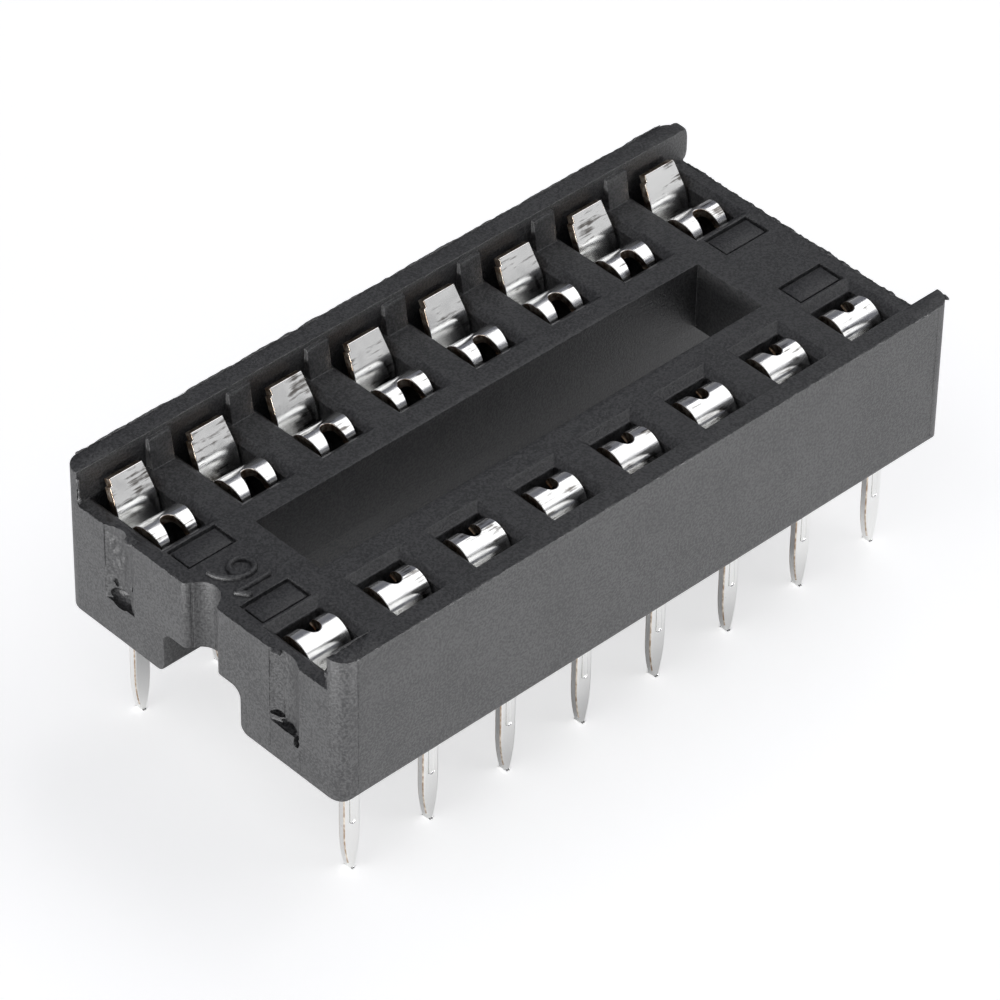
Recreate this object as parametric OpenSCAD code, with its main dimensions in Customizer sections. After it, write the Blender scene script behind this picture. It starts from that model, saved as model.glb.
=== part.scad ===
// Dual-in-line IC socket, 16 way, with two-leaf stamped contacts.
// Lengths are in millimetres. X runs along the rows, with pin one at the -X, -Y corner,
// and Z = 0 is the underside of the housing, where it sits on the circuit board.
// The origin is the centre of the pin grid.

/* [Pin grid] */
// Contacts in each of the two rows
contacts_per_row = 8; // [4:1:12]
// Distance from one contact to the next in a row
pitch = 2.54; // [2.4:0.02:2.8]
// Distance between the two rows of tails
row_spacing = 7.62; // [7:0.02:15.24]

/* [Housing] */
// Length of plastic beyond the centre of the end contact
end_overhang = 1.25; // [1.15:0.05:1.8]
// Height of the deck that the chip's body lies on
deck_h = 3.35; // [3.2:0.05:4]
// Height of the raised walls along the two long sides
wall_h = 4.35; // [4.2:0.05:5]
// Thickness of the raised walls
wall_t = 0.55; // [0.4:0.05:0.6]
// Radius of the four upright corners
corner_r = 0.5; // [0.2:0.05:0.7]
// Radius along the lower long edges
foot_edge_r = 0.2; // [0.1:0.05:0.4]
// Width of the pillar on the wall between two cavities
pillar_w = 0.7; // [0.4:0.05:0.75]
// How far a pillar stands out from the wall at the deck
pillar_out = 0.24; // [0.1:0.02:0.3]
// How far a pillar stands out from the wall at its top
pillar_top_out = 0.1; // [0.04:0.02:0.1]
// How far a pillar's top lies below the top of the wall
pillar_drop = 0.15; // [0.05:0.05:0.3]

/* [Contact cavities] */
// Clearance between a leaf and the cavity on either side of it
leaf_clear = 0.04; // [0.03:0.01:0.08]
// Clearance between the fork's arch and the cavity's inner wall
arch_clear = 0.05; // [0.03:0.01:0.2]
// Clearance between the outer leaf's top and the raised wall
blade_clear = 0.085; // [0.06:0.005:0.2]
// Chamfer on a cavity's two cross edges
side_chamfer = 0.19; // [0.1:0.01:0.22]
// Chamfer on a cavity's inner edge
inner_chamfer = 0.23; // [0.1:0.01:0.3]
// Thickness of the floor that the contacts are seated on
floor_t = 0.6; // [0.5:0.05:0.8]

/* [Middle and ends] */
// Width of the deck between the window and the cavities' inner walls
deck_strip = 0.89; // [0.7:0.01:1]
// Length of the bridge that closes the window at each end
bridge_l = 2.75; // [2.4:0.05:3]
// Height of the underside of the bridges
arch_h = 1.3; // [1:0.05:1.6]
// Thickness of plastic between the underside channel and the cavities
channel_wall = 0.65; // [0.5:0.05:0.85]
// Radius under the bridges, where they meet the feet
arch_r = 0.3; // [0.1:0.05:0.4]
// Radius of the feet's lower inner edges
foot_r = 0.25; // [0.1:0.05:0.4]
// Radius of the pin-one notch
notch_r = 0.5; // [0.3:0.05:0.6]
// Radius at the two sides of the notch's mouth
notch_lip_r = 0.18; // [0.05:0.01:0.2]
// Distance of a gate groove from the end contacts' row line
groove_in = 0.86; // [0.7:0.02:1]
// Width of the gate grooves in the notched end
groove_w = 1.05; // [0.8:0.05:1.2]
// Depth of the gate grooves
groove_d = 0.18; // [0.1:0.01:0.25]
// Height of the lower end of the gate grooves
groove_z = 1.1; // [0.9:0.05:1.6]
// Length of the shallow recesses in the deck's ends
recess_l = 1.52; // [1:0.02:1.7]
// Width of these recesses
recess_w = 0.82; // [0.4:0.02:0.85]
// Depth of the groove that runs round the floor of these recesses
recess_d = 0.14; // [0.1:0.01:0.3]
// Width of this groove
moat_w = 0.08; // [0.05:0.01:0.12]
// Depth of the floor inside this groove
pad_drop = 0.05; // [0.02:0.01:0.09]
// Distance of these recesses from the end face
recess_end = 0.45; // [0.3:0.05:0.6]
// Distance of these recesses from the cavities' chamfers
recess_side = 0.08; // [0.05:0.01:0.15]

/* [Contacts] */
// Thickness of the sheet that the contacts are stamped from
sheet_t = 0.25; // [0.2:0.01:0.26]
// Width of a contact's leaves
leaf_w = 1.3; // [1.1:0.02:1.32]
// Gap that a chip's lead springs open
lead_gap = 0.1; // [0.05:0.01:0.15]
// Depth of the point of contact below the deck
point_depth = 1.1; // [0.9:0.05:1.2]
// Height of the straight start of each leaf above the folded base
leaf_rise = 0.15; // [0.1:0.01:0.2]
// How far the outer leaf leans in at the point of contact
blade_lean = 0.115; // [0.05:0.005:0.13]
// How far the outer leaf's top flares out
blade_flare = 0.42; // [0.2:0.01:0.46]
// Bend radius at the outer leaf's foot and where it begins to flare
blade_bend_r = 0.4; // [0.2:0.05:0.5]
// Bend radius of the outer leaf at the point of contact
point_bend_r = 0.5; // [0.3:0.05:0.7]
// Depth below the deck at which the outer leaf begins to flare
knee_depth = 0.28; // [0.2:0.02:0.5]
// How far the middle of the outer leaf's top lies below the wall
blade_drop = 0.48; // [0.3:0.02:0.7]
// Narrowing of the outer leaf on each side at its top
blade_taper = 0.1; // [0.02:0.01:0.2]
// Height of the step in one corner of the outer leaf's top
blade_step = 0.2; // [0.1:0.02:0.3]
// How far this step is set in
step_in = 0.06; // [0.03:0.01:0.1]
// Bend radius of the forked leaf
fork_bend_r = 0.3; // [0.2:0.05:0.4]
// Outer radius of the arch that tops the forked leaf
crest_r = 0.58; // [0.45:0.01:0.6]
// Distance of the arch's middle from the row's centre line
crest_in = 1.15; // [1.05:0.01:1.25]
// Depth of the arch's crest below the deck
crest_drop = 0; // [0:0.05:0.4]
// Sweep of the arch past its crest, in degrees
finger_sweep = 68; // [50:1:80]
// Distance of the slot's closed end from the crest, on the side of the outer leaf
slot_back = 0.09; // [0:0.01:0.15]
// Width of the fork's slot at its closed end
slot_w = 0.42; // [0.3:0.02:0.5]
// Width of the fork's slot at the fingertips
slot_mouth_w = 0.6; // [0.5:0.02:0.7]
// Width of each fingertip
finger_w = 0.27; // [0.2:0.01:0.3]
// Distance of the forked leaf's foot from the row's centre line
fork_foot_in = 0.835; // [0.75:0.005:0.95]
// Height of the folded base that joins the two leaves
base_h = 0.8; // [0.6:0.05:0.9]
// Outer radius of the base's two folds
fold_r = 0.33; // [0.28:0.01:0.36]
// Clearance between a contact's tail and the slot in the floor
tail_clear = 0.03; // [0.02:0.01:0.05]

/* [Tails] */
// Width of a tail
tail_w = 0.5; // [0.4:0.02:0.6]
// Length of a tail below the housing
tail_l = 3.5; // [2.8:0.1:4]
// Length of the curved taper at the end of a tail
taper_l = 1.25; // [0.8:0.05:1.5]
// Radius of a tail's tip
tip_r = 0.1; // [0.06:0.01:0.15]
// Width of the stiffening groove pressed into a tail
crease_w = 0.15; // [0.1:0.01:0.2]
// Depth of this groove
crease_d = 0.05; // [0.02:0.01:0.08]
// Length of this groove below the housing
crease_l = 2.1; // [1.5:0.1:2.2]

/* [Hidden] */
$fn = 48;
eps = 0.01;
lap = 0.004;
plastic = [0.16, 0.16, 0.175];
tin = [0.82, 0.83, 0.84];

contact_count = 2 * contacts_per_row;
function contact_name(i) = str("contact_", i < 10 ? "0" : "", i);

row_y = row_spacing / 2;
end_x = (contacts_per_row - 1) * pitch / 2;
half_l = end_x + end_overhang;
wall_y = row_y + blade_flare + sheet_t / 2 + blade_clear;
half_w = wall_y + wall_t;
cavity_w = leaf_w + 2 * leaf_clear;
cavity_y = row_y - crest_in - crest_r - arch_clear;
window_x = half_l - bridge_l;
window_y = cavity_y - deck_strip;
channel_y = cavity_y - channel_wall;
groove_y = row_y - groove_in;
groove_r = (groove_w * groove_w / 4 + groove_d * groove_d) / (2 * groove_d);
recess_y = cavity_y - inner_chamfer - recess_side - recess_w / 2;
recess_x = half_l - recess_end - recess_l / 2;
pillar_top = wall_h - pillar_drop;
seat_z = floor_t;
base_z = seat_z + base_h;
point_z = deck_h - point_depth;
knee_z = deck_h - knee_depth;
blade_z = wall_h - blade_drop;
mid_r = crest_r - sheet_t / 2;
crest_z = deck_h - crest_drop - crest_r;

// ---- Housing ---------------------------------------------------------------------------

// Half of the housing's cross-section, drawn in Y and Z: block, raised wall and arch
module half_section() {
    difference() {
        square([half_w, wall_h]);
        translate([-eps, deck_h]) square([wall_y + eps, wall_h]);
        translate([-eps, -eps]) square([channel_y - arch_r + eps, arch_h + eps]);
        translate([-eps, -eps]) square([channel_y + eps, arch_h - arch_r + eps]);
        translate([channel_y - arch_r, arch_h - arch_r]) circle(arch_r);
        translate([channel_y, 0]) edge_cut(foot_r);
        translate([half_w, 0]) mirror([1, 0]) edge_cut(foot_edge_r);
    }
}

// What a radius of r takes off a square lower corner at the origin, with the body at +X, +Y
module edge_cut(r) {
    difference() {
        translate([-eps, -eps]) square(r + eps);
        translate([r, r]) circle(r);
    }
}

// A slab of the given half sizes with round upright corners
module rounded_block(half_x, half_y, height, r) {
    linear_extrude(height) {
        square([2 * half_x, 2 * (half_y - r)], center = true);
        square([2 * (half_x - r), 2 * half_y], center = true);
        for (x = [-1, 1], y = [-1, 1])
            translate([x * (half_x - r), y * (half_y - r)]) circle(r);
    }
}

// A tapered rib on the inner face of a long wall, above the deck between two cavities
module pillar() {
    rotate([90, 0, 90])
        translate([0, 0, -pillar_w / 2])
        linear_extrude(pillar_w)
        polygon([
            [wall_y - pillar_out, deck_h],
            [wall_y + eps, deck_h],
            [wall_y + eps, pillar_top],
            [wall_y - pillar_top_out, pillar_top]
        ]);
}

// The space for one contact in the +Y row: a well, its chamfered mouth and the tail's slot
module cavity() {
    chamfer_z = deck_h - side_chamfer;
    inner_z = deck_h - inner_chamfer;
    translate([-cavity_w / 2, cavity_y, seat_z])
        cube([cavity_w, wall_y - cavity_y, wall_h]);
    intersection() {
        translate([0, wall_y, 0]) rotate([90, 0, 0]) linear_extrude(wall_y - window_y)
            polygon([
                [-cavity_w / 2, chamfer_z],
                [cavity_w / 2, chamfer_z],
                [cavity_w / 2 + side_chamfer + eps, deck_h + eps],
                [-cavity_w / 2 - side_chamfer - eps, deck_h + eps]
            ]);
        translate([-pitch / 2, 0, 0]) rotate([90, 0, 90]) linear_extrude(pitch)
            polygon([
                [cavity_y, inner_z],
                [wall_y, inner_z],
                [wall_y, deck_h + eps],
                [cavity_y - inner_chamfer - eps, deck_h + eps]
            ]);
    }
    translate([-tail_w / 2 - tail_clear, row_y - sheet_t / 2 - tail_clear, -eps])
        cube([tail_w + 2 * tail_clear, sheet_t + 2 * tail_clear, seat_z + 2 * eps]);
}

// The half-round mark in the middle of the -X end, with a rounded mouth
module notch() {
    lip = notch_r + notch_lip_r;
    translate([-half_l, 0, 0]) linear_extrude(wall_h) {
        circle(notch_r);
        difference() {
            translate([-notch_lip_r, -lip]) square([2 * notch_lip_r, 2 * lip]);
            for (side = [-1, 1])
                translate([notch_lip_r, side * lip]) circle(notch_lip_r);
        }
    }
}

// The grooves in the notched end, where the moulding was broken off its gates
module gate_grooves() {
    for (side = [-1, 1])
        translate([groove_d - groove_r - half_l, side * groove_y, groove_z])
            cylinder(r = groove_r, h = wall_h);
}

// A recess in the deck with a deeper groove round its floor
module deck_recess() {
    difference() {
        cube([recess_l, recess_w, 2 * recess_d], center = true);
        translate([0, 0, -recess_d - pad_drop])
            cube([recess_l - 2 * moat_w, recess_w - 2 * moat_w, 2 * recess_d], center = true);
    }
}

module housing_blank() {
    intersection() {
        rotate([90, 0, 90]) translate([0, 0, -half_l]) linear_extrude(2 * half_l) {
            half_section();
            mirror([1, 0]) half_section();
        }
        rounded_block(half_l, half_w, wall_h, corner_r);
    }
    for (i = [1 : contacts_per_row - 1], row = [0, 180])
        rotate(row) translate([i * pitch - pitch / 2 - end_x, 0, 0]) pillar();
}

module housing() {
    color(plastic)
    difference() {
        housing_blank();
        for (i = [0 : contacts_per_row - 1], row = [0, 180])
            rotate(row) translate([i * pitch - end_x, 0, 0]) cavity();
        translate([-window_x, -window_y, -eps]) cube([2 * window_x, 2 * window_y, wall_h]);
        notch();
        gate_grooves();
        for (x = [-1, 1], y = [-1, 1])
            translate([x * recess_x, y * recess_y, deck_h]) deck_recess();
    }
}

// ---- Contacts --------------------------------------------------------------------------

// The leaves are bent strips. A strip follows a list of corners [across, up, bend radius].
// Its side view is drawn in X and Y, and Z is the strip's width until stand_up() turns it.
function flat(p) = [p[0], p[1]];
function heading(p, i) = atan2(p[i + 1][1] - p[i][1], p[i + 1][0] - p[i][0]);
function turn(p, i) = heading(p, i) - heading(p, i - 1);
function is_end(p, i) = i == 0 || i == len(p) - 1;
function setback(p, i) = is_end(p, i) ? 0 : p[i][2] * tan(abs(turn(p, i)) / 2);

// A flat stretch of the strip, which laps a hair into the bend at either end
module straight(p, i) {
    run = norm(flat(p[i + 1]) - flat(p[i])) - setback(p, i) - setback(p, i + 1);
    translate(flat(p[i]))
        rotate(heading(p, i))
        translate([setback(p, i) - lap, -sheet_t / 2, -leaf_w / 2])
        cube([run + 2 * lap, sheet_t, leaf_w]);
}

module bend(p, i) {
    side = sign(turn(p, i));
    translate(flat(p[i]))
        rotate(heading(p, i - 1))
        translate([-setback(p, i), side * p[i][2], 0])
        arc_strip(p[i][2], min(-90 * side, -90 * side + turn(p, i)), abs(turn(p, i)));
}

// A strip bent round the Z axis, from the angle start over the angle sweep
module arc_strip(r, start, sweep) {
    rotate(start)
        rotate_extrude(angle = sweep)
        translate([r - sheet_t / 2, -leaf_w / 2])
        square([sheet_t, leaf_w]);
}

module strip(p) {
    for (i = [0 : len(p) - 2])
        straight(p, i);
    for (i = [1 : len(p) - 2])
        bend(p, i);
}

module stand_up() {
    rotate([90, 0, 90]) children();
}

// The outer leaf: leans in to the point of contact, then flares out beside the wall
blade_knee = -blade_lean / 5;
blade_path = [
    [0, base_z, 0],
    [0, base_z + leaf_rise, blade_bend_r],
    [-blade_lean, point_z, point_bend_r],
    [blade_knee, knee_z, blade_bend_r],
    [blade_flare, blade_z, 0]
];

// Front view of the outer leaf: full width, tapered above the knee, one corner stepped
module blade_outline() {
    half = leaf_w / 2;
    top = blade_z + sheet_t;
    step_x = -half + blade_taper + step_in;
    step_z = blade_z - blade_step;
    polygon([
        [-half, base_z - eps],
        [half - fold_r, base_z - eps],
        [half - fold_r, base_z + leaf_rise],
        [half, base_z + leaf_rise],
        [half, knee_z],
        [half - blade_taper, top],
        [step_x, top],
        [step_x, step_z + step_in],
        [-half + step_in / 2, step_z],
        [-half, knee_z]
    ]);
}

module blade() {
    intersection() {
        stand_up() strip(blade_path);
        rotate([90, 0, 0]) translate([0, 0, -leaf_w]) linear_extrude(2 * leaf_w)
            blade_outline();
    }
}

// The inner leaf: rises to the point of contact, then leans back into an arch
fork_point = [-blade_lean - sheet_t - lead_gap, point_z, fork_bend_r];
crest = [-crest_in, crest_z];
to_point = flat(fork_point) - crest;
tangent_a = atan2(to_point[1], to_point[0]) + acos(mid_r / norm(to_point));
fork_path = [
    [-fork_foot_in, base_z, 0],
    [-fork_foot_in, base_z + leaf_rise, fork_bend_r],
    fork_point,
    [crest[0] + mid_r * cos(tangent_a), crest[1] + mid_r * sin(tangent_a), 0]
];
finger_end_a = 90 + finger_sweep;
slot_end = crest[0] + slot_back;

// Plan of the fork's slot, from its round closed end to beyond the fingertips
module slot_plan() {
    round_y = slot_end - slot_w / 2;
    tip_y = crest[0] - mid_r;
    translate([0, round_y]) circle(slot_w / 2);
    polygon([
        [-slot_w / 2, round_y],
        [slot_w / 2, round_y],
        [slot_mouth_w / 2, tip_y],
        [slot_mouth_w / 2, tip_y - sheet_t],
        [-slot_mouth_w / 2, tip_y - sheet_t],
        [-slot_mouth_w / 2, tip_y]
    ]);
}

// Plan of what the fingers' taper takes off one side of the arch
module taper_plan() {
    edge = slot_mouth_w / 2 + finger_w;
    tip_y = crest[0] - mid_r;
    polygon([
        [leaf_w / 2, crest[0]],
        [leaf_w, crest[0]],
        [leaf_w, tip_y - sheet_t],
        [edge, tip_y - sheet_t],
        [edge, tip_y]
    ]);
}

module fingertip() {
    translate([0, crest[0], crest[1]])
        rotate([finger_end_a, 0, 0])
        translate([0, mid_r - sheet_t / 2, 0])
        rotate([-90, 0, 0])
        cylinder(r = finger_w / 2, h = sheet_t);
}

module fork() {
    difference() {
        stand_up() {
            strip(fork_path);
            translate(crest) arc_strip(mid_r, tangent_a, finger_end_a - tangent_a);
        }
        translate([0, 0, crest_z - crest_r]) linear_extrude(3 * crest_r) {
            slot_plan();
            taper_plan();
            mirror([1, 0]) taper_plan();
        }
        fork_relief();
    }
    for (side = [-1, 1])
        translate([side * (slot_mouth_w + finger_w) / 2, 0, 0]) fingertip();
}

// The corner that is cut away so that the base can be folded
module fork_relief() {
    translate([leaf_w / 2 - fold_r, -fork_foot_in - 2 * sheet_t, base_z - eps])
        cube([2 * fold_r, 4 * sheet_t, leaf_rise + eps]);
}

// The base: a plan like a U on its side, whose legs carry the two leaves
module base() {
    outer = leaf_w / 2;
    inner_r = fold_r - sheet_t;
    back = -fork_foot_in - sheet_t / 2;
    translate([0, 0, seat_z]) linear_extrude(base_h) difference() {
        fold_plan(back, sheet_t / 2, outer, fold_r);
        fold_plan(back + sheet_t, -sheet_t / 2, outer - sheet_t, inner_r);
    }
}

// Plan of one side of the base's sheet, from the open -X side to the folds at +X
module fold_plan(y0, y1, x1, r) {
    x0 = -leaf_w / 2;
    translate([x0, y0]) square([x1 - r - x0, y1 - y0]);
    translate([x0, y0 + r]) square([x1 - x0, y1 - y0 - 2 * r]);
    for (y = [y0 + r, y1 - r])
        translate([x1 - r, y]) circle(r);
}

// Front view of the tail: barbs in the floor, a straight shank and a taper that two large
// circles curve
module tail_outline() {
    half = tail_w / 2;
    taper_z = taper_l - tail_l;
    tip_z = tip_r - tail_l;
    drop = taper_z - tip_z;
    side_r = (drop * drop + (half - tip_r) * (half - tip_r)) / (2 * (half - tip_r));
    translate([-half, taper_z]) square([tail_w, seat_z - taper_z]);
    for (side = [-1, 1])
        translate([side * half / 2, seat_z / 2])
            square([half + 2 * tail_clear, seat_z / 4], center = true);
    intersection() {
        translate([-half, tip_z]) square([tail_w, drop]);
        translate([half - side_r, taper_z]) circle(side_r, $fn = 180);
        translate([side_r - half, taper_z]) circle(side_r, $fn = 180);
    }
    translate([0, tip_z]) circle(tip_r);
}

module tail() {
    difference() {
        rotate([90, 0, 0]) translate([0, 0, -sheet_t / 2]) linear_extrude(sheet_t)
            tail_outline();
        translate([-crease_w / 2, sheet_t / 2 - crease_d, -crease_l])
            cube([crease_w, 2 * crease_d, crease_l + seat_z / 2]);
    }
}

// One contact as it stands in the +Y row, at the middle of the part
module contact_body() {
    blade();
    fork();
    base();
    tail();
}

// Contact i in its cavity: the first row runs along +X, and the second runs back
module contact(i) {
    first_row = i <= contacts_per_row;
    k = first_row ? i - 1 : contact_count - i;
    color(tin)
    translate([k * pitch - end_x, first_row ? -row_y : row_y, 0])
        rotate(first_row ? 180 : 0)
        contact_body();
}

housing();
for (i = [1 : contact_count])
    contact(i);
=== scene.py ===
import math
import random
import bpy
from mathutils import Matrix, Vector, noise


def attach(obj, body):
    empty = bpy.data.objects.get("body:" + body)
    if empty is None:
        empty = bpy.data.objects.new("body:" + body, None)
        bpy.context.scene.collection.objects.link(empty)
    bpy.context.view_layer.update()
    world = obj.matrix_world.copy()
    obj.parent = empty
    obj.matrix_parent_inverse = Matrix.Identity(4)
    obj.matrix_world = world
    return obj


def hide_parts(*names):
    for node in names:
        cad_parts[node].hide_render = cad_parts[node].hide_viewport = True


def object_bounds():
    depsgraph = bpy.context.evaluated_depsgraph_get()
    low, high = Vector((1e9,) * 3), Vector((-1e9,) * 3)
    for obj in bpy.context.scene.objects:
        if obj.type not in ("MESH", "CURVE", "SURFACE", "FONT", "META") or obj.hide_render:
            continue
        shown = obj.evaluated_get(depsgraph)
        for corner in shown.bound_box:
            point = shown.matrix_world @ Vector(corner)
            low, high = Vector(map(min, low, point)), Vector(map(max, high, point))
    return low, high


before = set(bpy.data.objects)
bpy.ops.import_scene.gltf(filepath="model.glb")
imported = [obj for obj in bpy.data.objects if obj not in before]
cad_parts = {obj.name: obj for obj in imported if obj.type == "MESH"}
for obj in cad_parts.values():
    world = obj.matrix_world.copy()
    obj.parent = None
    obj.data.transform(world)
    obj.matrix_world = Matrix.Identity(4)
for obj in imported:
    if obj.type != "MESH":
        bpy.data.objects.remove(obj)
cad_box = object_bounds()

# An IC socket with 16 ways: one black moulding with a spring contact in each of its wells.
# X runs along the rows, the notched end is at -X, and Z = 0 is the underside of the housing.
# The two pieces are modelled in millimetres, and each is shrunk to metres when it is done.

# ---- Camera --------------------------------------------------------------------------------
# A long lens looks down on the notched end and on the side of contacts 1 to 8.

camera_azimuth = math.radians(-43.887)
camera_elevation = math.radians(40.288)
camera_roll = math.radians(1.025)
camera_distance = 0.14305
camera_target = Vector((-0.0004, 0.00005, 0.0007))

lens = bpy.data.cameras.new("camera")
lens.lens = 209.57
lens.sensor_width = 36
lens.clip_start = 0.01
lens.clip_end = 10
camera = bpy.data.objects.new("camera", lens)
bpy.context.scene.collection.objects.link(camera)
bpy.context.scene.camera = camera

back = Vector((
    math.cos(camera_elevation) * math.sin(camera_azimuth),
    -math.cos(camera_elevation) * math.cos(camera_azimuth),
    math.sin(camera_elevation),
))
right = Vector((math.cos(camera_azimuth), math.sin(camera_azimuth), 0))
up = back.cross(right)
rolled_right = right * math.cos(camera_roll) + up * math.sin(camera_roll)
rolled_up = up * math.cos(camera_roll) - right * math.sin(camera_roll)
stand = Matrix((rolled_right, rolled_up, back)).transposed().to_4x4()
stand.translation = camera_target + back * camera_distance
camera.matrix_world = stand

# ---- Floor and light -----------------------------------------------------------------------
# The tails stand on a pale floor in a room that is pale at the horizon and grey above. Two soft
# boxes hang over the ends, two low strips light the notched end and the long side, and a dim
# one shows as a sheen in the outer leaves. The camera and what mirrors the floor see it lifted
# to white, though the mirrored floor stays darker in the footprint under the socket, which is
# painted shade there.

floor_size = 4.0
floor_colour = (0.80, 0.80, 0.80, 1)
floor_lift = 0.57
# The footprint under the socket is where the mirrored floor gets painted shade: its lift falls
# there
footprint = (0.0105, 0.0048)
footprint_rim = (0.75, 1.25)
shaded_footprint_lift = 0.15
room_stops = [
    (0.00, (0.90, 0.90, 0.90, 1)),
    (0.05, (0.62, 0.62, 0.62, 1)),
    (0.12, (0.26, 0.26, 0.27, 1)),
    (0.45, (0.155, 0.158, 0.180, 1)),
    (0.65, (0.170, 0.174, 0.200, 1)),
]
soft_boxes = {
    "soft_box_right": {"towards": (0.53, -0.15, 0.83), "away": 0.30,
                       "size": (0.40, 0.16), "watts": 0.29},
    "soft_box_left": {"towards": (-0.53, -0.12, 0.83), "away": 0.30,
                      "size": (0.40, 0.16), "watts": 0.17},
    "soft_box_end": {"towards": (-1.0, -0.10, 0.025), "away": 0.35,
                     "size": (0.24, 0.020), "watts": 1.35},
    "soft_box_side": {"towards": (0.05, -1.0, 0.020), "away": 0.35,
                      "size": (0.24, 0.016), "watts": 0.92},
    "soft_box_front": {"towards": (0.53, -0.84, 0.17), "away": 0.35,
                       "size": (0.30, 0.08), "watts": 0.035},
}


def node_in(material, kind, **values):
    """Adds a node to a material or world, and sets its inputs and options by name."""
    node = material.node_tree.nodes.new("ShaderNode" + kind)
    for name, value in values.items():
        if name in node.inputs:
            node.inputs[name].default_value = value
        else:
            setattr(node, name, value)
    return node


def link(material, start, end):
    material.node_tree.links.new(start, end)


bpy.ops.object.select_all(action="DESELECT")
bpy.ops.mesh.primitive_plane_add(size=floor_size, location=(0, 0, cad_box[0][2]))
floor = bpy.context.active_object
floor.name = "floor"
bpy.ops.object.transform_apply(location=True, rotation=True, scale=True)
pale = bpy.data.materials.new("pale_floor")
pale.use_nodes = True
shader = pale.node_tree.nodes["Principled BSDF"]
shader.inputs["Base Color"].default_value = floor_colour
shader.inputs["Roughness"].default_value = 0.9
shader.inputs["Specular IOR Level"].default_value = 0.0
rays = node_in(pale, "LightPath")
mirrored = node_in(pale, "Math", operation="MAXIMUM")
seen = node_in(pale, "Math", operation="MAXIMUM")
# Painted shade: glossy and transmission rays see less lift in the footprint under the socket
spot = node_in(pale, "TexCoord")
scaled = node_in(pale, "VectorMath", operation="DIVIDE")
scaled.inputs[1].default_value = (footprint[0], footprint[1], 1)
distance = node_in(pale, "VectorMath", operation="LENGTH")
open_floor = node_in(pale, "MapRange")
open_floor.inputs["From Min"].default_value = footprint_rim[0]
open_floor.inputs["From Max"].default_value = footprint_rim[1]
open_floor.inputs["To Min"].default_value = shaded_footprint_lift
mirrored_there = node_in(pale, "Math", operation="MULTIPLY")
lift = node_in(pale, "Emission")
lift_by = node_in(pale, "Math", operation="MULTIPLY")
lift_by.inputs[1].default_value = floor_lift
both = node_in(pale, "AddShader")
link(pale, spot.outputs["Object"], scaled.inputs[0])
link(pale, scaled.outputs[0], distance.inputs[0])
link(pale, distance.outputs["Value"], open_floor.inputs["Value"])
link(pale, rays.outputs["Is Glossy Ray"], mirrored.inputs[0])
link(pale, rays.outputs["Is Transmission Ray"], mirrored.inputs[1])
link(pale, mirrored.outputs[0], mirrored_there.inputs[0])
link(pale, open_floor.outputs["Result"], mirrored_there.inputs[1])
link(pale, rays.outputs["Is Camera Ray"], seen.inputs[0])
link(pale, mirrored_there.outputs[0], seen.inputs[1])
link(pale, seen.outputs[0], lift_by.inputs[0])
link(pale, lift_by.outputs[0], lift.inputs["Strength"])
link(pale, shader.outputs[0], both.inputs[0])
link(pale, lift.outputs[0], both.inputs[1])
link(pale, both.outputs[0], pale.node_tree.nodes["Material Output"].inputs["Surface"])
floor.data.materials.append(pale)

room = bpy.data.worlds.new("room")
room.use_nodes = True
bpy.context.scene.world = room
direction = node_in(room, "TexCoord")
parts_of = node_in(room, "SeparateXYZ")
height_ramp = node_in(room, "ValToRGB")
stops = height_ramp.color_ramp.elements
while len(stops) < len(room_stops):
    stops.new(0.5)
for stop, (place, colour) in zip(stops, room_stops):
    stop.position = place
    stop.color = colour
link(room, direction.outputs["Generated"], parts_of.inputs[0])
link(room, parts_of.outputs["Z"], height_ramp.inputs["Fac"])
link(room, height_ramp.outputs["Color"], room.node_tree.nodes["Background"].inputs["Color"])

for name, plan in soft_boxes.items():
    lamp = bpy.data.lights.new(name, "AREA")
    lamp.shape = "RECTANGLE"
    lamp.size, lamp.size_y = plan["size"]
    lamp.energy = plan["watts"]
    box = bpy.data.objects.new(name, lamp)
    bpy.context.scene.collection.objects.link(box)
    towards = Vector(plan["towards"]).normalized()
    box.location = towards * plan["away"]
    box.rotation_euler = towards.to_track_quat("Z", "Y").to_euler()
bpy.context.scene.view_settings.view_transform = "Standard"

# ---- Housing -------------------------------------------------------------------------------
# One injection moulding of black plastic filled with short glass fibres, which leave a fine
# matt grain. The mould rounds every edge a little, leaves hairlines where its halves meet and
# thin flash along the top, and the moulding is snapped off its gates, which tears the ends.

metre = 1000
half_l = 10.14
wall_top = 4.35
wall_in = 4.44
wall_out = 4.99
deck = 3.35
pitch = 2.54
row_y = 3.81
row_x = [pitch * (i - 3.5) for i in range(8)]
recess_x = 8.93
recess_y = 1.31
edge_round = 0.022
weld_gap = 0.0005
flat_angle = math.radians(0.6)
edge_angle = math.radians(40)


def choose(piece):
    """Makes one piece the only thing that operators act on."""
    bpy.ops.object.select_all(action="DESELECT")
    piece.select_set(True)
    bpy.context.view_layer.objects.active = piece


def apply_all(piece):
    choose(piece)
    for modifier in list(piece.modifiers):
        bpy.ops.object.modifier_apply(modifier=modifier.name)


def combine(piece, other, how):
    """Joins another solid to a piece or cuts it away, and uses the other one up."""
    step = piece.modifiers.new(how.lower(), "BOOLEAN")
    step.operation = how
    step.solver = "EXACT"
    step.object = other
    apply_all(piece)
    bpy.data.objects.remove(other)


def trim(piece, where, outward):
    """Cuts off what lies beyond a plane, and closes the cut."""
    choose(piece)
    bpy.ops.object.mode_set(mode="EDIT")
    bpy.ops.mesh.select_all(action="SELECT")
    bpy.ops.mesh.bisect(plane_co=where, plane_no=outward, use_fill=True, clear_outer=True)
    bpy.ops.object.mode_set(mode="OBJECT")


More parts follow.
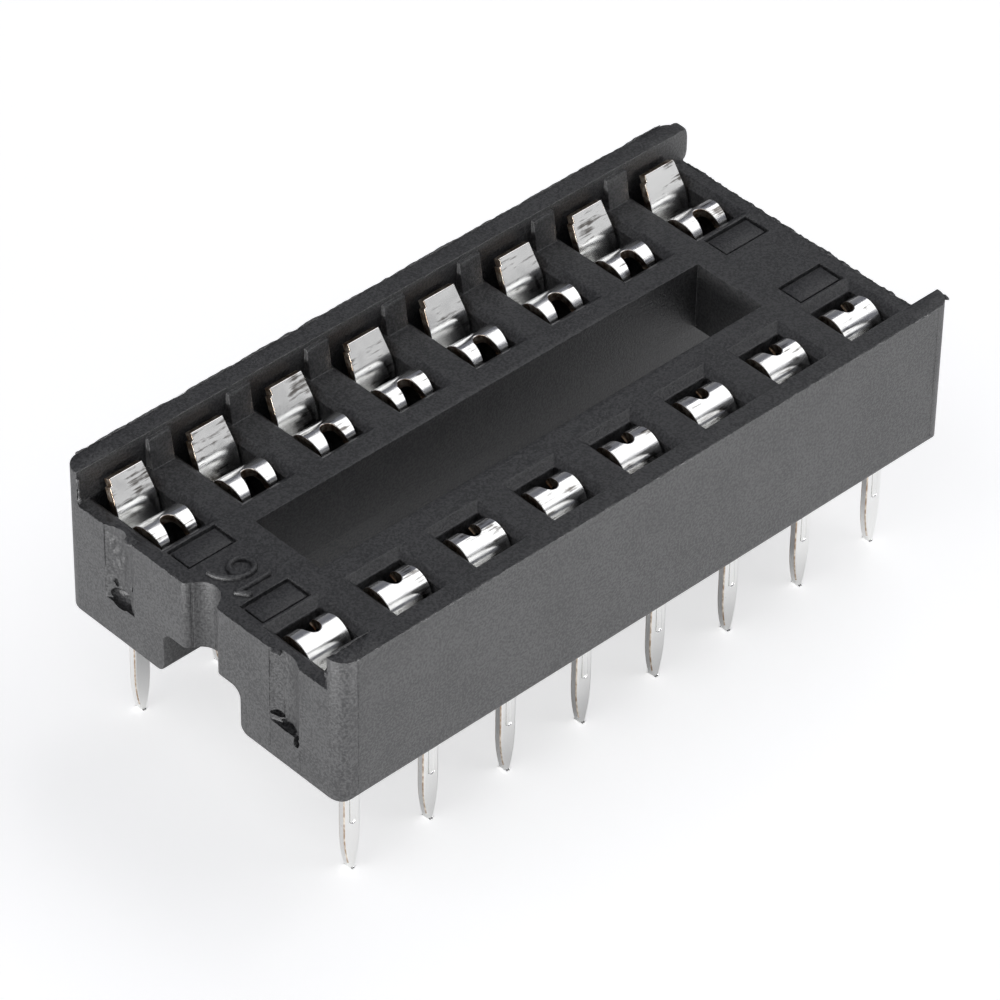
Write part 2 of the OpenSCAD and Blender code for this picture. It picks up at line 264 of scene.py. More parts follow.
def round_edges(piece, width):
    rounding = piece.modifiers.new("rounding", "BEVEL")
    rounding.width = width
    rounding.segments = 2
    rounding.limit_method = "ANGLE"
    rounding.angle_limit = edge_angle
    rounding.use_clamp_overlap = False
    apply_all(piece)


def copy_of_node(node_name, name, seams):
    """A copy of a CAD node in millimetres, with its triangles joined into whole faces. The
    seams cut through its holes, because a face can't have one."""
    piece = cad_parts[node_name].copy()
    piece.data = piece.data.copy()
    piece.name = name
    piece.parent = None
    for key in list(piece.keys()):
        del piece[key]
    bpy.context.scene.collection.objects.link(piece)
    piece.data.materials.clear()
    piece.data.transform(Matrix.Scale(metre, 4))
    choose(piece)
    bpy.ops.object.mode_set(mode="EDIT")
    bpy.ops.mesh.select_all(action="SELECT")
    bpy.ops.mesh.remove_doubles(threshold=weld_gap)
    for axis, places in seams.items():
        for place in places:
            bpy.ops.mesh.select_all(action="SELECT")
            bpy.ops.mesh.bisect(plane_co=axis * place, plane_no=axis)
            bpy.ops.mesh.mark_seam()
    bpy.ops.mesh.select_all(action="SELECT")
    bpy.ops.mesh.dissolve_limited(angle_limit=flat_angle, delimit={"SEAM"})
    bpy.ops.object.mode_set(mode="OBJECT")
    return piece


housing = copy_of_node("housing", "socket_housing", {
    Vector((1, 0, 0)).freeze(): row_x + [-recess_x, recess_x],
    Vector((0, 1, 0)).freeze(): [-row_y, -recess_y, 0, recess_y, row_y],
})
round_edges(housing, edge_round)

# The torn surfaces come from seeded noise, so they are the same in every run
noise.seed_set(16)


def torn_lump(middle, size, roughness, fineness, squareness=1):
    """A lump with a torn surface, either snapped plastic or the hollow that it leaves. The
    lower its squareness number, the more it is like a block."""
    bpy.ops.object.select_all(action="DESELECT")
    bpy.ops.mesh.primitive_ico_sphere_add(subdivisions=4, radius=1)
    for vertex in bpy.context.active_object.data.vertices:
        vertex.co = [math.copysign(abs(side) ** squareness, side) for side in vertex.co]
    bpy.ops.transform.resize(value=size)
    bpy.ops.transform.translate(value=middle)
    bpy.ops.object.transform_apply(location=True, rotation=True, scale=True)
    lump = bpy.context.active_object
    for vertex in lump.data.vertices:
        coarse = noise.noise_vector(vertex.co * fineness)
        fine = noise.noise_vector(vertex.co * fineness * 3.1)
        vertex.co += (coarse + fine * 0.45) * roughness
    return lump


def torn_skin(side):
    """The rough surface that a gate leaves down the whole of its shallow round groove."""
    bpy.ops.object.select_all(action="DESELECT")
    low, high = groove_z
    seed = side * 3
    bpy.ops.mesh.primitive_grid_add(x_subdivisions=36, y_subdivisions=80, size=1)
    skin = bpy.context.active_object
    for vertex in skin.data.vertices:
        across = vertex.co.x * groove_w
        z = low + (vertex.co.y + 0.5) * (high - low)
        depth = groove_d - groove_r + math.sqrt(groove_r ** 2 - across ** 2)
        ridge = noise.noise(Vector((across * 4, z * 1.1, seed)))
        pit = noise.noise(Vector((across * 10, z * 4, seed + 5)))
        fade = 1 - (2 * across / groove_w) ** 4
        fade *= min(1, (z - low) / foot_fade)
        depth -= (0.035 + 0.060 * ridge + 0.040 * pit) * fade - 0.004
        vertex.co = (-half_l + max(depth, 0.005), side * groove_y + across, z)
    wall = skin.modifiers.new("thickness", "SOLIDIFY")
    wall.thickness = skin_thick
    wall.offset = 1
    apply_all(skin)
    return skin


# Where the gates were: torn grooves, hollows at the grooves' feet and stubs on the wall ends.
# Each hollow or stub is its middle, its half sizes, its roughness and how fine that is.
groove_y = 2.95
groove_z = (1.06, 3.36)
groove_w = 1.05
groove_d = 0.18
groove_r = (groove_w ** 2 / 4 + groove_d ** 2) / (2 * groove_d)
foot_fade = 0.15
skin_thick = 0.12
for side in (1, -1):
    combine(housing, torn_skin(side), "UNION")
hollows = [
    ((-half_l + 0.14, 2.97, 1.26), (0.27, 0.40, 0.27), 0.026, 2.6),
    ((-half_l + 0.14, 3.20, 1.62), (0.10, 0.09, 0.12), 0.020, 7.0),
    ((-half_l + 0.13, 2.60, 1.80), (0.08, 0.05, 0.06), 0.020, 7.0),
    ((-half_l + 0.14, -2.62, 1.34), (0.27, 0.20, 0.10), 0.030, 5.3),
    ((-half_l + 0.14, -2.98, 1.16), (0.27, 0.28, 0.09), 0.030, 6.2),
    ((-half_l + 0.12, -3.38, 0.98), (0.28, 0.11, 0.18), 0.030, 5.7),
]
stubs = [
    ((half_l - 0.16, -4.56, 3.70), (0.22, 0.14, 0.34), 0.030, 3.4),
    ((half_l - 0.02, -1.60, 3.22), (0.05, 0.34, 0.10), 0.020, 3.5),
    ((-half_l + 0.10, 2.62, 3.28), (0.12, 0.20, 0.09), 0.022, 4.2),
    ((-half_l + 0.06, -2.62, 3.30), (0.10, 0.16, 0.07), 0.020, 4.6),
]
flare = torn_lump((half_l - 0.05, 4.715, 3.78), (0.24, 0.262, 0.52), 0.014, 2.1, 0.5)
combine(housing, flare, "UNION")
for middle, size, roughness, fineness in hollows:
    combine(housing, torn_lump(middle, size, roughness, fineness), "DIFFERENCE")
for middle, size, roughness, fineness in stubs:
    combine(housing, torn_lump(middle, size, roughness, fineness), "UNION")


# The number of ways in raised strokes on the notched end, read from the right-hand side: a
# ring and an arc for the six, and two bars for the one
stroke = 0.17
bowl = Vector((-8.74, 0.10, deck + 0.02))
bowl_r = 0.305
stem_r = 0.72
one_top = (-9.44, -0.51, bowl.z)
one_foot = (-8.46, -0.51, bowl.z)
flag_end = (-9.26, -0.76, bowl.z)


def raised_ring(middle, radius):
    """A round stroke of a figure, half sunk in the deck."""
    bpy.ops.object.select_all(action="DESELECT")
    bpy.ops.mesh.primitive_torus_add(location=middle, major_segments=64, minor_segments=12,
                                     major_radius=radius, minor_radius=stroke / 2)
    bpy.ops.object.transform_apply(location=True, rotation=True, scale=True)
    return bpy.context.active_object


def raised_bar(start, end):
    """A straight stroke of a figure: a ball with its two halves drawn apart."""
    bpy.ops.object.select_all(action="DESELECT")
    start, end = Vector(start), Vector(end)
    run = end - start
    bpy.ops.mesh.primitive_uv_sphere_add(segments=16, ring_count=9, radius=stroke / 2)
    bar = bpy.context.active_object
    for vertex in bar.data.vertices:
        vertex.co.z += run.length if vertex.co.z > 0 else 0
    turn = run.to_track_quat("Z", "Y").to_matrix().to_4x4()
    bar.data.transform(Matrix.Translation(start) @ turn)
    return bar


stem_middle = bowl + Vector((0, stem_r - bowl_r, 0))
stem = raised_ring(stem_middle, stem_r)
trim(stem, stem_middle, (1, 0, 0))
trim(stem, stem_middle - Vector((0, 0.05, 0)), (0, 1, 0))
figures = [
    raised_ring(bowl, bowl_r),
    stem,
    raised_bar(one_top, one_foot),
    raised_bar(one_top, flag_end),
]


flash_step = 0.04


def ragged_bar(start, end, radius, roughness, fineness):
    """A hair of flash along an edge, thicker here and gone there: a ball of many rings, with
    its rings moved to even places along the edge."""
    bpy.ops.object.select_all(action="DESELECT")
    start, end = Vector(start), Vector(end)
    run = end - start
    rings = int(run.length / flash_step)
    bpy.ops.mesh.primitive_uv_sphere_add(segments=8, ring_count=rings, radius=1)
    bar = bpy.context.active_object
    for vertex in bar.data.vertices:
        along = 0.5 - math.acos(max(-1, min(1, vertex.co.z))) / math.pi
        at_pole = abs(along) > 0.4999
        out = Vector((0, 0)) if at_pole else vertex.co.xy.normalized() * radius
        vertex.co = (out.x, out.y, along * run.length)
    turn = run.to_track_quat("Z", "Y").to_matrix().to_4x4()
    bar.data.transform(Matrix.Translation((start + end) / 2) @ turn)
    for vertex in bar.data.vertices:
        centre = start + run * ((vertex.co - start).dot(run) / run.length_squared)
        swell = 0.75 + noise.noise(centre * fineness) + 0.5 * noise.noise(centre * fineness * 3)
        vertex.co = centre + (vertex.co - centre) * max(0.1, swell)
        vertex.co += noise.noise_vector(vertex.co * fineness * 2) * roughness
    return bar


# Each row is a start, an end, a radius, its roughness and how fine that is
flash = [
    ((-9.70, -wall_out, wall_top), (9.80, -wall_out, wall_top), 0.036, 0.018, 3.7),
    ((half_l - 0.06, -4.90, wall_top - 0.05), (half_l - 0.06, -4.48, wall_top - 0.05),
     0.060, 0.020, 4.4),
    ((-9.70, wall_out, wall_top), (9.80, wall_out, wall_top), 0.028, 0.010, 2.3),
    ((-9.98, -wall_in, wall_top), (-8.75, -wall_in, wall_top), 0.050, 0.012, 1.3),
    ((-9.90, wall_in, wall_top), (9.90, wall_in, wall_top), 0.016, 0.010, 2.1),
    ((-half_l, -4.30, deck), (-half_l, -3.50, deck), 0.030, 0.015, 2.7),
    ((-half_l, -2.40, deck), (-half_l, -0.72, deck), 0.026, 0.014, 3.1),
    ((-half_l, 0.72, deck), (-half_l, 2.40, deck), 0.026, 0.014, 2.9),
    ((-half_l, 3.50, deck), (-half_l, 4.40, deck), 0.030, 0.015, 3.3),
    ((half_l - 0.03, -4.40, deck), (half_l - 0.03, 4.30, deck), 0.038, 0.006, 5.6),
    ((-half_l + 0.02, 4.43, 4.20), (-half_l + 0.03, 4.36, 3.40), 0.048, 0.020, 3.9),
    ((-half_l + 0.02, -4.43, 3.95), (-half_l + 0.03, -4.40, 3.40), 0.042, 0.018, 4.3),
]
hairlines = [
    ((-half_l, -2.43, 0.25), (-half_l, -2.43, 3.30), 0.020, 0.004, 2.2),
    ((-half_l, 3.48, 1.20), (-half_l, 3.48, 3.30), 0.022, 0.004, 2.3),
    ((-half_l, -3.48, 0.05), (-half_l, -3.48, 0.80), 0.016, 0.004, 2.6),
    ((-half_l + 0.50, -wall_out, 0.22), (-half_l + 0.50, -wall_out, 4.25), 0.014, 0.004, 1.7),
    ((half_l - 0.50, -wall_out, 0.22), (half_l - 0.50, -wall_out, 4.25), 0.014, 0.004, 1.8),
    ((-half_l + 0.50, wall_out, 0.22), (-half_l + 0.50, wall_out, 4.25), 0.014, 0.004, 1.9),
    ((half_l - 0.50, wall_out, 0.22), (half_l - 0.50, wall_out, 4.25), 0.014, 0.004, 2.0),
    ((-half_l + 0.50, 0.06, 1.35), (-half_l + 0.50, 0.06, 3.30), 0.014, 0.004, 2.4),
]
for y in (2.45, -3.46):
    drag = ragged_bar((-half_l, y, 1.60), (-half_l, y, 3.30), 0.030, 0.006, 2.7)
    combine(housing, drag, "DIFFERENCE")
trimmings = figures + [ragged_bar(*row) for row in flash + hairlines]
choose(housing)
for bar in trimmings:
    bar.select_set(True)
bpy.ops.object.join()

plastic = bpy.data.materials.new("black_glass_filled_plastic")
plastic.use_nodes = True
shader = plastic.node_tree.nodes["Principled BSDF"]
shader.inputs["IOR"].default_value = 1.67
place = node_in(plastic, "TexCoord")
grain = node_in(plastic, "TexNoise", Scale=16000, Detail=3, Roughness=0.6)
cloud = node_in(plastic, "TexNoise", Scale=900, Detail=4, Roughness=0.55)
tone = node_in(plastic, "ValToRGB")
tone.color_ramp.elements[0].position = 0.43
tone.color_ramp.elements[0].color = (0.009, 0.009, 0.010, 1)
tone.color_ramp.elements[1].position = 0.57
tone.color_ramp.elements[1].color = (0.050, 0.050, 0.051, 1)
mixed = node_in(plastic, "Mix", data_type="FLOAT")
mixed.inputs["Factor"].default_value = 0.15
gloss = node_in(plastic, "MapRange")
gloss.inputs["To Min"].default_value = 0.36
gloss.inputs["To Max"].default_value = 0.60
relief = node_in(plastic, "Bump", Strength=1.0, Distance=0.000016)
link(plastic, place.outputs["Object"], grain.inputs["Vector"])
link(plastic, place.outputs["Object"], cloud.inputs["Vector"])
link(plastic, grain.outputs["Fac"], mixed.inputs["A"])
link(plastic, cloud.outputs["Fac"], mixed.inputs["B"])
link(plastic, mixed.outputs["Result"], tone.inputs["Fac"])
link(plastic, tone.outputs["Color"], shader.inputs["Base Color"])
link(plastic, grain.outputs["Fac"], gloss.inputs["Value"])
link(plastic, gloss.outputs["Result"], shader.inputs["Roughness"])
link(plastic, grain.outputs["Fac"], relief.inputs["Height"])
link(plastic, relief.outputs["Normal"], shader.inputs["Normal"])
housing.data.materials.append(plastic)

housing.data.transform(Matrix.Scale(1 / metre, 4))
choose(housing)
bpy.ops.object.shade_smooth_by_angle(angle=math.radians(35))
smoothing = housing.modifiers.new("smoothing", "WEIGHTED_NORMAL")
smoothing.keep_sharp = True
smoothing.weight = 100
apply_all(housing)
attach(housing, "root")
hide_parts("housing")

# ---- Contacts ------------------------------------------------------------------------------
# Sixteen identical springs, each stamped from bronze strip, tinned and bent: an outer leaf
# that flares out at the top, a forked inner leaf that ends in an arch, a base folded like a
# U, and a tail. Each is bent here from one flat blank, as the press tool bends it.

sheet = 0.25
leaf_w = 1.3
seat_z = 0.6
base_z = 1.4
relief_z = 1.55
fold_r = 0.205
leg_gap = 0.835
leg_run = 0.97
barb = 0.28
barb_z = (0.22, 0.38)
stamped_edge = 0.025
tail_round = 0.055
blade_corners = [
    (0, 1.4, 0),
    (0, 1.55, 0.4),
    (-0.115, 2.25, 0.5),
    (-0.023, 3.07, 1.2),
    (0.42, 3.87, 0),
]
blade_taper = 0.1
step_w = 0.16
step_h = 0.2
arch_in = 1.15
arch_z = 2.77
arch_r = 0.455
arch_end = math.radians(158)
fork_point = (0.465, 2.25)
fork_bend = 0.3
slot_w = 0.42
slot_mouth = 0.6
slot_drop = 0.09
finger_w = 0.27
tail_w = 0.5
tail_z = -3.5
taper_z = -2.25
tip_r = 0.1
taper_steps = 8
tip_steps = 5
tip_turn = 16
crease_w = 0.17
crease_z = (-2.0, 0.5)
crease_d = 0.11
crease_slope = 0.05
crease_end_r = 0.084
crease_rim = 0.12
most_tilt = 0.008
most_splay = 0.006


def strip_path(corners):
    """The straights and bends of a strip that follows corners (out, up, bend radius), each
    as (distance along the strip, start, heading, curvature)."""
    path = []
    along = 0
    start = Vector(corners[0][:2])
    for i in range(1, len(corners)):
        corner = Vector(corners[i][:2])
        heading = math.atan2(corner.y - start.y, corner.x - start.x)
        run = (corner - start).length
        path.append((along, start, heading, 0))
        if i + 1 < len(corners):
            after = Vector(corners[i + 1][:2]) - corner
            turn = math.remainder(math.atan2(after.y, after.x) - heading, math.tau)
            setback = corners[i][2] * math.tan(abs(turn) / 2)
            run -= setback
            bend_start = start + Vector((math.cos(heading), math.sin(heading))) * run
            path.append((along + run, bend_start, heading, turn / abs(turn) / corners[i][2]))
            run += corners[i][2] * abs(turn)
            start = corner + after.normalized() * setback
        along += run
    return path, along


def on_path(path, along, offset):
    """The point at a distance along a path, and offset to the right of its heading."""
    reached = [step for step in path if step[0] < along + sheet / 1000] or path[:1]
    start_along, start, heading, curve = reached[-1]
    ahead = along - start_along
    if curve == 0:
        point = start + Vector((math.cos(heading), math.sin(heading))) * ahead
    else:
        middle = start + Vector((-math.sin(heading), math.cos(heading))) / curve
        heading += ahead * curve
        point = middle + Vector((math.sin(heading), -math.cos(heading))) / curve
    return point + Vector((math.sin(heading), -math.cos(heading))) * offset


def plate(x_range, z_range, thick=sheet):
    """A flat piece of the blank, which lies in X and Z."""
    bpy.ops.object.select_all(action="DESELECT")
    middle = (sum(x_range) / 2, 0, sum(z_range) / 2)
    bpy.ops.mesh.primitive_cube_add(size=1, location=middle)
    bpy.ops.transform.resize(value=(x_range[1] - x_range[0], thick, z_range[1] - z_range[0]))
    bpy.ops.object.transform_apply(location=True, rotation=True, scale=True)
    return bpy.context.active_object


def disc(radius, x, z, thick=sheet):
    bpy.ops.object.select_all(action="DESELECT")
    bpy.ops.mesh.primitive_cylinder_add(
        vertices=32, radius=radius, depth=thick, location=(x, 0, z),
        rotation=(math.radians(90), 0, 0))
    bpy.ops.object.transform_apply(location=True, rotation=True, scale=True)
    return bpy.context.active_object


def pick_faces(piece, wanted):
    """Goes into edit mode with the faces selected whose middle passes a test."""
    choose(piece)
    bpy.ops.object.mode_set(mode="EDIT")
    bpy.ops.mesh.select_mode(type="FACE")
    bpy.ops.mesh.select_all(action="DESELECT")
    bpy.ops.object.mode_set(mode="OBJECT")
    for face in piece.data.polygons:
        face.select = wanted(face.center)
    bpy.ops.object.mode_set(mode="EDIT")


def wedge(x, half_low, half_high, z_range):
    """A cutter whose width changes from its lower end to its upper end."""
    cutter = plate((x - half_low, x + half_low), z_range, 2 * sheet)
    pick_faces(cutter, lambda middle: middle.z > z_range[1] - sheet / 100)
    bpy.ops.transform.resize(value=(half_high / half_low, 1, 1))
    bpy.ops.object.mode_set(mode="OBJECT")
    return cutter


# The outer leaf, tapered above its knee and stepped in one top corner
blade_path, blade_l = strip_path(blade_corners)
knee = blade_path[-2][0]
blade = plate((0, leaf_w), (relief_z, base_z + blade_l))
blade_rise = blade_l - knee
for side, edge_x in ((-1, 0), (1, leaf_w)):
    trim(blade, (edge_x, 0, base_z + knee), (side * blade_rise, 0, blade_taper))
step_z = (base_z + blade_l - step_h, base_z + 3 * blade_l)
combine(blade, plate((-1, step_w), step_z, 1), "DIFFERENCE")

# The fork: a leaf with a slot between its two fingers, which narrow to round tips
mid_point = Vector((-fork_point[0], fork_point[1])) - Vector((-arch_in, arch_z))
touch = mid_point.angle_signed(Vector((1, 0))) + math.acos(arch_r / mid_point.length)
fork_path, fork_l = strip_path([
    (0, base_z, 0),
    (0, relief_z, fork_bend),
    (fork_point[0] - leg_gap, fork_point[1], fork_bend),
    (arch_in - arch_r * math.cos(touch) - leg_gap, arch_z + arch_r * math.sin(touch), 0),
])
arch_start = Vector((arch_in - arch_r * math.cos(touch) - leg_gap,
                     arch_z + arch_r * math.sin(touch)))
fork_path.append((fork_l, arch_start, math.radians(90) - touch, -1 / arch_r))
crest = base_z + fork_l + arch_r * (math.radians(90) - touch)
tips = base_z + fork_l + arch_r * (arch_end - touch)
fork_path.append((tips - base_z, on_path(fork_path, tips - base_z, 0),
                  math.radians(90) - arch_end, 0))
blank_w = 2 * leg_run + leg_gap - 2 * fold_r + math.pi * fold_r
fork_x = blank_w - leaf_w / 2
finger_x = slot_mouth / 2 + finger_w / 2
fork = plate((blank_w - leaf_w, blank_w), (relief_z, tips))
for side in (-1, 1):
    trim(fork, (fork_x + side * leaf_w / 2, 0, crest),
         (side * (tips - crest), 0, leaf_w / 2 - finger_x - finger_w / 2))
    combine(fork, disc(finger_w / 2, fork_x + side * finger_x, tips), "UNION")
slot_z = crest - slot_drop + slot_w / 2
combine(fork, disc(slot_w / 2, fork_x, slot_z, 1), "DIFFERENCE")
combine(fork, wedge(fork_x, slot_w / 2, slot_mouth / 2, (slot_z, tips + 0.02)), "DIFFERENCE")

# The tail, drawn down from a plate to a curved taper and a round tip
tail_x = leaf_w / 2
tail = plate((tail_x - tail_w / 2, tail_x + tail_w / 2), (taper_z, base_z - sheet))
taper = taper_z - tail_z - tip_r
side_r = (taper ** 2 + (tail_w / 2 - tip_r) ** 2) / (tail_w - 2 * tip_r)
widths = []
for i in range(1, taper_steps + 1):
    drop = taper * i / taper_steps
    widths.append((taper_z - drop, tail_w - 2 * (side_r - math.sqrt(side_r ** 2 - drop ** 2))))
for i in range(1, tip_steps + 1):
    turned = math.radians(tip_turn * i)
    widths.append((tail_z + tip_r - tip_r * math.sin(turned), 2 * tip_r * math.cos(turned)))
lowest = taper_z
width = tail_w
pick_faces(tail, lambda middle: middle.z < taper_z + sheet / 100)
for next_z, next_w in widths:
    bpy.ops.mesh.extrude_region_move(TRANSFORM_OT_translate={"value": (0, 0, next_z - lowest)})
    bpy.ops.transform.resize(value=(next_w / width, 1, 1))
    lowest = next_z
    width = next_w
bpy.ops.object.mode_set(mode="OBJECT")
round_edges(tail, tail_round)

# The base joins them, and the neck of each leaf stands clear of the base's folds
blank = plate((0, blank_w), (seat_z, base_z))
combine(blank, plate((0, leg_run), (base_z - sheet, relief_z + sheet)), "UNION")
combine(blank, plate((blank_w - leg_run, blank_w), (base_z - sheet, relief_z + sheet)), "UNION")
combine(blank, blade, "UNION")
combine(blank, fork, "UNION")
combine(blank, tail, "UNION")
combine(blank, plate((tail_x - barb, tail_x + barb), barb_z), "UNION")

# The groove pressed into the tail has round ends and runs out gently at the lower one
crease = plate((tail_x - crease_w / 2, tail_x + crease_w / 2), crease_z, crease_d)
crease.data.transform(Matrix.Translation((0, sheet / 2, 0)))
pointed = crease.modifiers.new("rounded_ends", "BEVEL")
pointed.width = crease_end_r
pointed.segments = 5
pointed.limit_method = "WEIGHT"
for vertex in crease.data.vertices:
    vertex.co.y += crease_slope if vertex.co.z < 0 else 0
weights = crease.data.attributes.new("bevel_weight_edge", "FLOAT", "EDGE")
for edge in crease.data.edges:
    ends = [crease.data.vertices[i].co for i in edge.vertices]
    weights.data[edge.index].value = abs(ends[0].y - ends[1].y) > crease_d * 0.8
apply_all(crease)
combine(blank, crease, "DIFFERENCE")


def score(piece, places, axis, wanted):
    """Divides the chosen faces along lines, so that they can bend there."""
    for place in places:
        pick_faces(piece, wanted)
        bpy.ops.mesh.bisect(plane_co=axis * place, plane_no=axis)
        bpy.ops.object.mode_set(mode="OBJECT")


def bend_lines(path, whole, step):
    """Heights on the blank at which a path bends, a step apart along each bend."""
    lines = []
    for i, (along, start, heading, curve) in enumerate(path):
        end = path[i + 1][0] if i + 1 < len(path) else whole
        count = max(1, math.ceil((end - along) * abs(curve) / step))
        lines += [base_z + along + (end - along) * k / count for k in range(count + 1)]
    return sorted(set(round(line, 5) for line in lines if base_z + 0.01 < line < base_z + whole))


stamped = blank.modifiers.new("stamped_edges", "BEVEL")
stamped.width = stamped_edge
stamped.segments = 2
stamped.limit_method = "ANGLE"
stamped.angle_limit = edge_angle
stamped.use_clamp_overlap = False
bend_step = math.radians(6)
half_blank = blank_w / 2
upright = Vector((0, 0, 1))
along_row = Vector((1, 0, 0))
score(blank, bend_lines(blade_path, blade_l, bend_step), upright,
      lambda middle: middle.z > base_z and middle.x < half_blank)
score(blank, bend_lines(fork_path, tips - base_z, bend_step), upright,
      lambda middle: middle.z > base_z and middle.x > half_blank)
fold_l = fold_r * math.pi / 2
folds = [leg_run + fold_l * k / 8 for k in range(9)]
folds += [blank_w - line for line in folds]
score(blank, folds, along_row, lambda middle: middle.z < base_z)
apply_all(blank)

# Rounding pushes the tips of the tail out a little, so they are cut off level with the floor
trim(blank, (0, 0, tail_z), (0, 0, -1))

# The cut edges of the leaves, and the rounded edges of the tails outside the crease, get a
# second, darker brownish metal: painted shade for the brown in the slots and the grey outlines
# along the tails
for face in blank.data.polygons:
    on_leaf = abs(face.normal.y) < 0.6 and face.center.z > relief_z
    on_tail = 0.3 < abs(face.normal.y) < 0.6 and face.center.z < 0
    in_crease = abs(face.center.x - tail_x) < crease_rim
    face.material_index = on_leaf or (on_tail and not in_crease)

fold_path = strip_path([
    (-leaf_w / 2, 0, 0),
    (leg_run - leaf_w / 2 + fold_r, 0, fold_r),
    (leg_run - leaf_w / 2 + fold_r, -leg_gap, fold_r),
    (-leaf_w / 2, -leg_gap, 0),
])[0]


def bent(flat):
    """Where a point of the flat blank comes to lie once the contact is bent."""
    if flat.z < base_z + stamped_edge / 2:
        place = on_path(fold_path, flat.x, -flat.y)
        return Vector((place.x, place.y, flat.z))
    if flat.x < half_blank:
        side = on_path(blade_path, flat.z - base_z, flat.y)
        return Vector((flat.x - leaf_w / 2, side.x, side.y))
    side = on_path(fork_path, flat.z - base_z, flat.y)
    return Vector((blank_w - flat.x - leaf_w / 2, -leg_gap - side.x, side.y))


for vertex in blank.data.vertices:
    vertex.co = bent(vertex.co)
choose(blank)
bpy.ops.object.shade_smooth_by_angle(angle=math.radians(50))
weighing = blank.modifiers.new("smoothing", "WEIGHTED_NORMAL")
weighing.keep_sharp = True
weighing.weight = 100
apply_all(blank)

tin = bpy.data.materials.new("tinned_bronze")
tin.use_nodes = True
shader = tin.node_tree.nodes["Principled BSDF"]
shader.inputs["Metallic"].default_value = 1.0
place = node_in(tin, "TexCoord")
rolled = node_in(tin, "Mapping")
rolled.inputs["Scale"].default_value = (0.10, 1, 1)
lines = node_in(tin, "TexNoise", Scale=9000, Detail=4, Roughness=0.6)
worn = node_in(tin, "Mix", data_type="FLOAT")
worn.inputs["Factor"].default_value = 0.45
# Towards the tails the dark marks on the tin fade out, so the tails are lighter
parts = node_in(tin, "SeparateXYZ")
marks_fade_low = node_in(tin, "MapRange")
marks_fade_low.inputs["From Min"].default_value = 0.0010
marks_fade_low.inputs["From Max"].default_value = -0.0002
marks_fade_low.inputs["To Max"].default_value = 0.10
worn_above = node_in(tin, "Math", operation="ADD")
bloom = node_in(tin, "TexNoise", Scale=1600, Detail=3, Roughness=0.5)
shade = node_in(tin, "ValToRGB")
shade.color_ramp.elements[0].position = 0.37
shade.color_ramp.elements[0].color = (0.16, 0.15, 0.14, 1)
shade.color_ramp.elements[1].position = 0.45
shade.color_ramp.elements[1].color = (0.82, 0.82, 0.81, 1)
dull = node_in(tin, "MapRange")
dull.inputs["From Min"].default_value = 0.35
dull.inputs["From Max"].default_value = 0.65
dull.inputs["To Min"].default_value = 0.12
dull.inputs["To Max"].default_value = 0.26
relief = node_in(tin, "Bump", Strength=0.25, Distance=0.000003)
link(tin, place.outputs["Object"], rolled.inputs["Vector"])
link(tin, rolled.outputs["Vector"], lines.inputs["Vector"])
link(tin, place.outputs["Object"], bloom.inputs["Vector"])
link(tin, lines.outputs["Fac"], worn.inputs["A"])
link(tin, bloom.outputs["Fac"], worn.inputs["B"])
link(tin, place.outputs["Object"], parts.inputs[0])
link(tin, parts.outputs["Z"], marks_fade_low.inputs["Value"])
link(tin, worn.outputs["Result"], worn_above.inputs[0])
link(tin, marks_fade_low.outputs["Result"], worn_above.inputs[1])
link(tin, worn_above.outputs[0], shade.inputs["Fac"])
link(tin, shade.outputs["Color"], shader.inputs["Base Color"])
link(tin, bloom.outputs["Fac"], dull.inputs["Value"])
link(tin, dull.outputs["Result"], shader.inputs["Roughness"])
link(tin, lines.outputs["Fac"], relief.inputs["Height"])
link(tin, relief.outputs["Normal"], shader.inputs["Normal"])
blank.data.materials.append(tin)

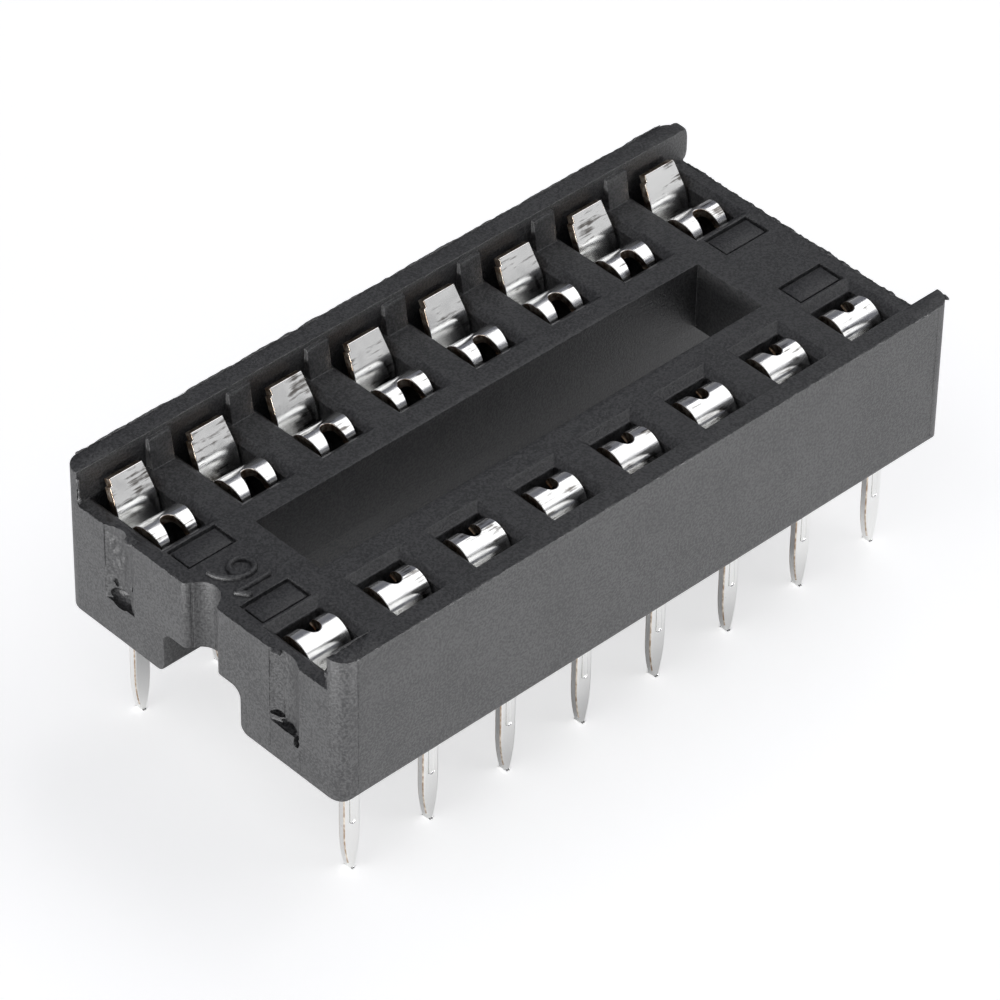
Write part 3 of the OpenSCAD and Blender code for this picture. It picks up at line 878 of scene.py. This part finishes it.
# Painted shade: a darker, brownish metal for the leaves' cut edges and the tails' rounded edges
edge_shade = bpy.data.materials.new("painted_shade_edge")
edge_shade.use_nodes = True
shader = edge_shade.node_tree.nodes["Principled BSDF"]
shader.inputs["Metallic"].default_value = 1.0
place = node_in(edge_shade, "TexCoord")
edge_noise = node_in(edge_shade, "TexNoise", Scale=7000, Detail=4, Roughness=0.6)
edge_shade_ramp = node_in(edge_shade, "ValToRGB")
edge_shade_ramp.color_ramp.elements[0].position = 0.40
edge_shade_ramp.color_ramp.elements[0].color = (0.36, 0.25, 0.17, 1)
edge_shade_ramp.color_ramp.elements[1].position = 0.62
edge_shade_ramp.color_ramp.elements[1].color = (0.74, 0.67, 0.58, 1)
rubbed = node_in(edge_shade, "MapRange")
rubbed.inputs["To Min"].default_value = 0.25
rubbed.inputs["To Max"].default_value = 0.50
link(edge_shade, place.outputs["Object"], edge_noise.inputs["Vector"])
link(edge_shade, edge_noise.outputs["Fac"], edge_shade_ramp.inputs["Fac"])
link(edge_shade, edge_shade_ramp.outputs["Color"], shader.inputs["Base Color"])
link(edge_shade, edge_noise.outputs["Fac"], rubbed.inputs["Value"])
link(edge_shade, rubbed.outputs["Result"], shader.inputs["Roughness"])
blank.data.materials.append(edge_shade)

# Each contact is a copy, a little differently sprung, with 1 to 8 turned to face the other way
random.seed(16)
for number in range(1, 17):
    first_row = number <= 8
    piece = blank.copy()
    piece.data = blank.data.copy()
    piece.name = "spring_contact_%02d" % number
    bpy.context.scene.collection.objects.link(piece)
    tilt = random.uniform(-most_tilt, most_tilt)
    splay = random.uniform(-most_splay, most_splay)
    for vertex in piece.data.vertices:
        vertex.co.y += tilt * max(0, vertex.co.z - base_z)
        vertex.co.x += splay * min(0, vertex.co.z)
    x = row_x[number - 1] if first_row else row_x[16 - number]
    turned = Matrix.Rotation(math.pi if first_row else 0, 4, "Z")
    at = Matrix.Translation((x, -row_y if first_row else row_y, 0))
    piece.data.transform(Matrix.Scale(1 / metre, 4) @ at @ turned)
    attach(piece, "root")
    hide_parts("contact_%02d" % number)
bpy.data.objects.remove(blank)
